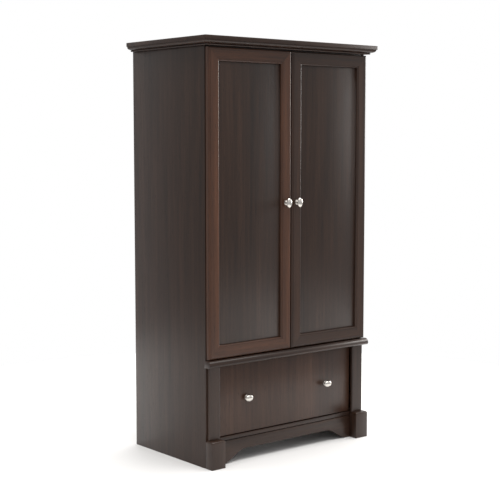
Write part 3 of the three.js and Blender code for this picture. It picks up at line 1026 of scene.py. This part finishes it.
# A pan-head screw, modelled once and copied
screw = {
    "radius": 3.4,
    "head": 1.7,
    "sides": 20,
    "inset": 0.9,
    "crown": 0.35,
    "crossLong": 3.8,
    "crossWide": 0.9,
    "crossDeep": 1.1,
}


def disc(name, radius, height, sides):
    # A small round plate that stands on the origin
    deselectAll()
    bpy.ops.mesh.primitive_cylinder_add(
        vertices=sides, radius=radius * mm, depth=height * mm, location=(0, 0, height * mm / 2)
    )
    piece = bpy.context.object
    piece.name = name
    bpy.ops.object.transform_apply(location=True, rotation=True, scale=True)
    return piece


def crossed(piece, height, long, wide, deep):
    # Cuts a cross recess, centred at a height over the origin
    for x, y in ((long, wide), (wide, long)):
        bpy.ops.mesh.primitive_cube_add(size=1, location=(0, 0, height * mm))
        cutter = bpy.context.object
        cutter.scale = (x * mm, y * mm, deep * mm)
        bpy.ops.object.transform_apply(location=True, rotation=True, scale=True)
        carved(piece, cutter)
    return piece


def makeScrewHead():
    # Points up from the origin
    k = screw
    head = disc("screwHead", k["radius"], k["head"], k["sides"])
    bpy.ops.object.mode_set(mode="EDIT")
    bpy.ops.mesh.select_all(action="DESELECT")
    bpy.ops.object.mode_set(mode="OBJECT")
    for face in head.data.polygons:
        face.select = face.normal.z > 0.9
    bpy.ops.object.mode_set(mode="EDIT")
    bpy.ops.mesh.select_mode(type="FACE")
    bpy.ops.mesh.inset(thickness=k["inset"] * mm, depth=0)
    bpy.ops.transform.translate(value=(0, 0, k["crown"] * mm))
    settle()
    return crossed(head, k["head"] + 0.6, k["crossLong"], k["crossWide"], 2 * k["crossDeep"])


def scattered(model, name, places, direction, size=1.0):
    # Copies of a small model that stands on the origin, pointing up, joined as one piece
    turn = Vector(direction).to_track_quat("Z", "Y").to_euler()
    made = []
    for number, place in enumerate(places):
        pick(model)
        bpy.ops.object.duplicate()
        copy = bpy.context.object
        copy.name = name + str(number)
        copy.location = spot(*place)
        copy.rotation_euler = turn
        copy.scale = (size, size, size)
        bpy.ops.object.transform_apply(location=True, rotation=True, scale=True)
        made.append(copy)
    group = joined(*made) if len(made) > 1 else made[0]
    group.name = name
    return group


screwHead = makeScrewHead()
print("screw made")


# Cup hinges: an arm on the side panel, and a pin in the door's cup
hinge = {
    "pivot": (-385, -13.5),
    "eye": (1.7, 1.8),
    "bore": 1.25,
    "pin": 0.9,
    "pinHalf": 17.6,
    "armHalf": 5.5,
    "armStart": [
        (-376.2, 55), (-378.7, 55), (-378.7, 7), (-378.7, 3), (-370.4, -1.5), (-370, -2.6),
        (-370, -8.6), (-370.6, -10.4), (-372.4, -12.3), (-374, -12.5), (-385, -11.7),
    ],
    "armEnd": [
        (-385, -15.3), (-372, -14.5), (-369.6, -13.2), (-368.4, -11.6), (-368, -10.0), (-368, -1),
        (-368.8, 0.6), (-376.2, 9),
    ],
    "plate": (-378.7, -376.2),
    "plateY": (20, 56),
    "plateHalf": 17,
    "plateScrews": (38, 11.5),  # from the edge, and above and below the middle
    "coverScrews": (24, 44),
    "cover": (4.2, 14, 54, 6.4),  # height, front, back and half width
    "cupMouth": -2.8,
    "flange": (-390, -349),
    "flangeHalf": 27,
    "flangeY": (-2.45, -1.5),
    "screwZ": 22.5,
    "screwX": -370,
}


def makeHingeArm(z):
    h = hinge
    px, py = h["pivot"]
    rx, ry = h["eye"]
    eye = [(x, -y) for x, y in arcPoints(px, -py, rx, ry, 270, 90, 18)]
    outline = h["armStart"] + eye[1:-1] + h["armEnd"]
    arm = prismZ("hingeArm", outline, z - h["armHalf"], z + h["armHalf"])
    arm = carved(arm, rod("hingeBore", (px, py, z - 8), (px, py, z + 8), h["bore"], 20))
    x0, x1 = h["plate"]
    y0, y1 = h["plateY"]
    half = h["plateHalf"]
    face = x1 - 0.6
    plate = board("hingePlate", (x0, y0, z - half), (face, y1, z + half), 0.5)
    height, front, back, wide = h["cover"]
    top = x1 + height
    cover = board("hingeCover", (x1 - 0.2, front, z - wide), (top, back, z + wide), 1.4)
    y, rise = h["plateScrews"]
    screws = scattered(screwHead, "plateScrew", [(face, y, z + s) for s in (-rise, rise)], (1, 0, 0))
    fixing = scattered(screwHead, "coverScrew", [(top, y, z) for y in h["coverScrews"]], (1, 0, 0), 0.8)
    return joined(arm, plate, cover, screws, fixing)


def makeHingeCup(z):
    h, d = hinge, door
    px, py = h["pivot"]
    shape = [(x, z + s) for x, s in cupOutline(d["cupWall"])]
    hollow = [(x, z + s) for x, s in cupOutline(0)]
    cup = prismY("cup", shape, d["cupFloor"] - d["cupWall"], h["cupMouth"])
    cup = carved(cup, prismY("cupHollow", hollow, d["cupFloor"], 2))
    reach = h["pinHalf"]
    pin = rod("cupPin", (px, py, z - reach), (px, py, z + reach), h["pin"], 16)
    x0, x1 = h["flange"]
    y0, y1 = h["flangeY"]
    half = h["flangeHalf"]
    flange = block("cupFlange", (x0, y0, z - half), (x1, y1, z + half))
    flange = eased(carved(flange, prismY("flangeHollow", hollow, -6, 2)), 0.3)
    places = [(h["screwX"], y1 - 0.1, z + s * h["screwZ"]) for s in (-1, 1)]
    screws = scattered(screwHead, "cupScrew", places, (0, 1, 0), 0.62)
    return joined(cup, pin, flange, screws)


def makeHinges():
    for name, z in hingeHeights().items():
        low = name.lower()
        dressPair(makeHingeArm(z), "HingeArm" + name, "steel", steelSlot, cabinet, "hinge_arm_" + low)
        cupNode = "door_hinge_cup_" + low
        dressPair(makeHingeCup(z), "DoorHingeCup" + name, "steel", steelSlot, doors, cupNode)


makeHinges()
print("hinges made")


# The garment rod and its two open sockets
rail = {
    "y": 225,
    "z": 1268,
    "radius": 12.5,
    "wall": 1.2,
    "half": 374.4,
    "socket": 19,
    "face": -378.7,
    "socketThick": 9,
    "socketLip": 5,
    "gap": 0.3,
    "screwOut": 13.6,
    "screwDown": 8,
}


def makeRail():
    r = rail
    y, z, far, gap = r["y"], r["z"], r["half"], r["gap"]
    inner, outer = r["radius"] - r["wall"], r["radius"]
    profile = [
        (inner, 0), (outer - gap, 0), (outer, gap), (outer, 2 * far - gap), (outer - gap, 2 * far),
        (inner, 2 * far), (inner, 0),
    ]
    tube = turned("garmentRod", profile, spot(-far, y, z), Vector((1, 0, 0)), Vector((0, 1, 0)), 56)
    dress(tube, "nickel", nickelSlot, "cabinet", "garment_rod")

    back, front = r["face"], r["face"] + r["socketThick"]
    floor, room = front - r["socketLip"], outer + gap
    socket = rod("socket", (back, y, z), (front, y, z), r["socket"], 64)
    socket = carved(socket, rod("socketBore", (floor, y, z), (front + 3, y, z), room, 48))
    high = (front + 3, y + room, z + r["socket"] + 3)
    socket = carved(socket, block("socketMouth", (floor, y - room, z), high))
    socket = eased(socket, 0.7, 3, 50)
    places = [(front - 0.5, y + s * r["screwOut"], z - r["screwDown"]) for s in (-1, 1)]
    screws = scattered(screwHead, "socketScrew", places, (1, 0, 0), 0.6)
    dressPair(joined(socket, screws), "RodSocket", "nickel", nickelSlot, cabinet, "rod_socket")


# Four pins under the adjustable shelf
shelfPin = {
    "radius": 2.5,
    "reach": (-383.5, -370),
    "collar": 5,
    "collarReach": (-378.7, -377.1),
    "collarDrop": 2.4,
}


def makeShelfPins():
    p = shelfPin
    z = carcass["pinHeight"]
    low = z - p["collarDrop"]
    x0, x1 = p["reach"]
    x2, x3 = p["collarReach"]
    for end, y in zip(("Front", "Rear"), carcass["pinHoleRows"]):
        shank = eased(rod("pinShank", (x0, y, z), (x1, y, z), p["radius"], 24), 0.5, 2, 50)
        collar = eased(rod("pinCollar", (x2, y, low), (x3, y, low), p["collar"], 32), 0.4, 2, 50)
        node = "shelf_pin_" + end.lower()
        dressPair(joined(shank, collar), "ShelfPin" + end, "steel", steelSlot, cabinet, node)


# Nylon rollers at the front of the cabinet runners
roller = {
    "inside": -327.5,
    "axle": (31, 134.7),
    "axleRadius": 2,
    "profile": [
        (2.3, 0), (4.2, 0), (4.6, 0.9), (6.5, 0.9), (6.9, 0.2), (7.9, 0), (8.35, 0.2), (8.5, 0.7),
        (8.5, 5.3), (8.35, 5.8), (7.9, 6), (6.9, 5.8), (6.5, 5.1), (4.6, 5.1), (4.2, 6), (2.3, 6),
        (2.3, 0),
    ],
    "pockets": 3,
    "pocketOut": 5.5,
    "pocketRadius": 0.8,
    "pocketFloor": -323.2,
}


def makeRollers():
    r = roller
    ay, az = r["axle"]
    hub = spot(r["inside"], ay, az)
    wheel = turned("leftRoller", r["profile"], hub, Vector((1, 0, 0)), Vector((0, 1, 0)), 56)
    # shallow pockets in the wheel's outer face show that it turns
    for step in range(r["pockets"]):
        turn = 2 * pi * step / r["pockets"]
        y, z = ay + r["pocketOut"] * cos(turn), az + r["pocketOut"] * sin(turn)
        pocket = rod("pocket", (r["pocketFloor"], y, z), (-320, y, z), r["pocketRadius"], 12)
        wheel = carved(wheel, pocket)
    dressPair(wheel, "Roller", "nylon", "nylon", ("left_roller", "right_roller"), "roller", angle=40)


# Steel angles: one on a wooden cleat, one under the drawer's side
runner = {
    "cleatLow": (-378.7, 20.3, 118),
    "cleatHigh": (-331, 432.7, 168),
    "fixed": [(-330.7, 124), (-320, 124), (-320, 125.2), (-329.5, 125.2), (-329.5, 154), (-330.7, 154)],
    "fixedRun": (20.6, 392.6),
    "notchLow": (-329.3, 18, 122),
    "notchHigh": (-318, 41, 127),
    "axleReach": (-330.1, -320),
    "moving": [
        (-318.3, 159), (-319.5, 159), (-319.5, 144.7), (-327.8, 144.7), (-327.8, 143.5), (-309.3, 143.5),
        (-309.3, 144.7), (-318.3, 144.7),
    ],
    "movingRun": (20.6, 392.3),
}


def makeRunners():
    r = runner
    cleat = board("leftRunnerCleat", r["cleatLow"], r["cleatHigh"], 0.8)
    dressPair(cleat, "RunnerCleat", "insideDeep", insideSlot, cabinet, "runner_cleat")
    fixed = prismY("leftCabinetRunner", r["fixed"], *r["fixedRun"])
    fixed = carved(fixed, block("notch", r["notchLow"], r["notchHigh"]))
    near, far = ((x, *roller["axle"]) for x in r["axleReach"])
    axle = rod("axle", near, far, roller["axleRadius"], 28)
    fixed = joined(eased(fixed, 0.25, 2, 60), eased(axle, 0.3, 2, 60))
    dressPair(fixed, "CabinetRunner", "steel", steelSlot, cabinet, "cabinet_runner")
    moving = eased(prismY("leftDrawerRunner", r["moving"], *r["movingRun"]), 0.25, 2, 60)
    dressPair(moving, "DrawerRunner", "steel", steelSlot, drawer, "drawer_runner")


# Rows of screws: their places, the way they point, their size, and the bodies they ride on
screwRows = {
    "RunnerScrews": ([(-329.5, y, 135) for y in (84, 200, 340)], (1, 0, 0), 0.85, cabinet),
    "DrawerRunnerScrews": ([(-319.5, y, 152) for y in (70, 210, 360)], (-1, 0, 0), 0.6, drawer),
    "DrawerKnobScrew": ([(-200, 20, 237)], (0, 1, 0), 1.3, drawer),
    "DoorKnobScrew": ([(-27, -2.5, 959)], (0, 1, 0), 1.1, doors),
}


def makeScrewRows():
    for name, (places, direction, size, bodies) in screwRows.items():
        dressPair(scattered(screwHead, name, places, direction, size), name, "steel", steelSlot, bodies)


# Cam locks in the undersides of the fixed boards and the back of the header rail
camLock = {
    "radius": 7.5,
    "thick": 1.0,
    "crossWide": 1.2,
    "side": 345,
    "rows": (60, 395),
    "heights": (383.5, 91),
    "header": (350, 16, 1514),
}


def makeCams():
    c = camLock
    radius, thick = c["radius"], c["thick"]
    cam = eased(disc("camLock", radius, thick, 32), 0.3, 2, 50)
    cam = crossed(cam, thick, radius, c["crossWide"], thick)
    places = [(sx * c["side"], y, z) for z in c["heights"] for sx in (-1, 1) for y in c["rows"]]
    under = scattered(cam, "camLocks", places, (0, 0, -1))
    out, back, high = c["header"]
    header = scattered(cam, "headerCams", [(sx * out, back, high) for sx in (-1, 1)], (0, 1, 0))
    bpy.data.objects.remove(cam)
    dress(joined(under, header), "steel", steelSlot, "cabinet")


# Clear pads on the doors' backs that meet the header rail
bumper = {
    "at": (-18, -2.45, 1509),
    "profile": [(0, 1.9), (1.6, 1.85), (3.2, 1.5), (4.2, 0.8), (4.5, 0), (0, 0)],
}


def makeBumpers():
    along, across = Vector((0, 1, 0)), Vector((1, 0, 0))
    pad = turned("bumper", bumper["profile"], spot(*bumper["at"]), along, across, 28)
    dressPair(pad, "DoorBumper", "bumper", None, doors, angle=60)


makeRail()
makeShelfPins()
makeRollers()
makeRunners()
makeScrewRows()
makeCams()
makeBumpers()
print("fittings made")


# The thin back panel, creased up its middle where it folds flat, and its nails
backing = {
    "low": (-379, 443, 91),
    "high": (379, 446, 1545),
    "creaseHalf": 1.6,
    "creaseDepth": 1.1,
    "nailRadius": 2.2,
    "nailThick": 0.7,
    "nailIn": 8,
    "nailSteps": 12,
    "rowHeights": (98, 391.5, 1537),
    "rowShares": (-2 / 3, -1 / 3, 0.02, 1 / 3, 2 / 3),  # the middle nail misses the crease
}


def makeBack():
    b = backing
    x1, y1, z1 = b["high"]
    panel = board("backPanel", b["low"], b["high"], 0.4)
    half, over = b["creaseHalf"], y1 + 0.6
    crease = [(-half, over), (0, y1 - b["creaseDepth"]), (half, over)]
    panel = carved(panel, prismZ("crease", crease, b["low"][2] - 11, z1 + 15))
    dress(panel, "insideUpright", insideSlot, "cabinet", "back_panel")

    nail = eased(disc("nail", b["nailRadius"], b["nailThick"], 12), 0.25, 2, 50)
    edge = x1 - b["nailIn"]
    foot, top, steps = b["rowHeights"][0], b["rowHeights"][2], b["nailSteps"]
    places = []
    for step in range(steps + 1):
        z = foot + (top - foot) * step / steps
        places += [(-edge, y1, z), (edge, y1, z)]
    for z in b["rowHeights"]:
        places += [(edge * share, y1, z) for share in b["rowShares"]]
    nails = scattered(nail, "backNails", places, (0, 1, 0))
    bpy.data.objects.remove(nail)
    dress(nails, "steel", None, "cabinet")


makeBack()
bpy.data.objects.remove(screwHead)
print("back made")
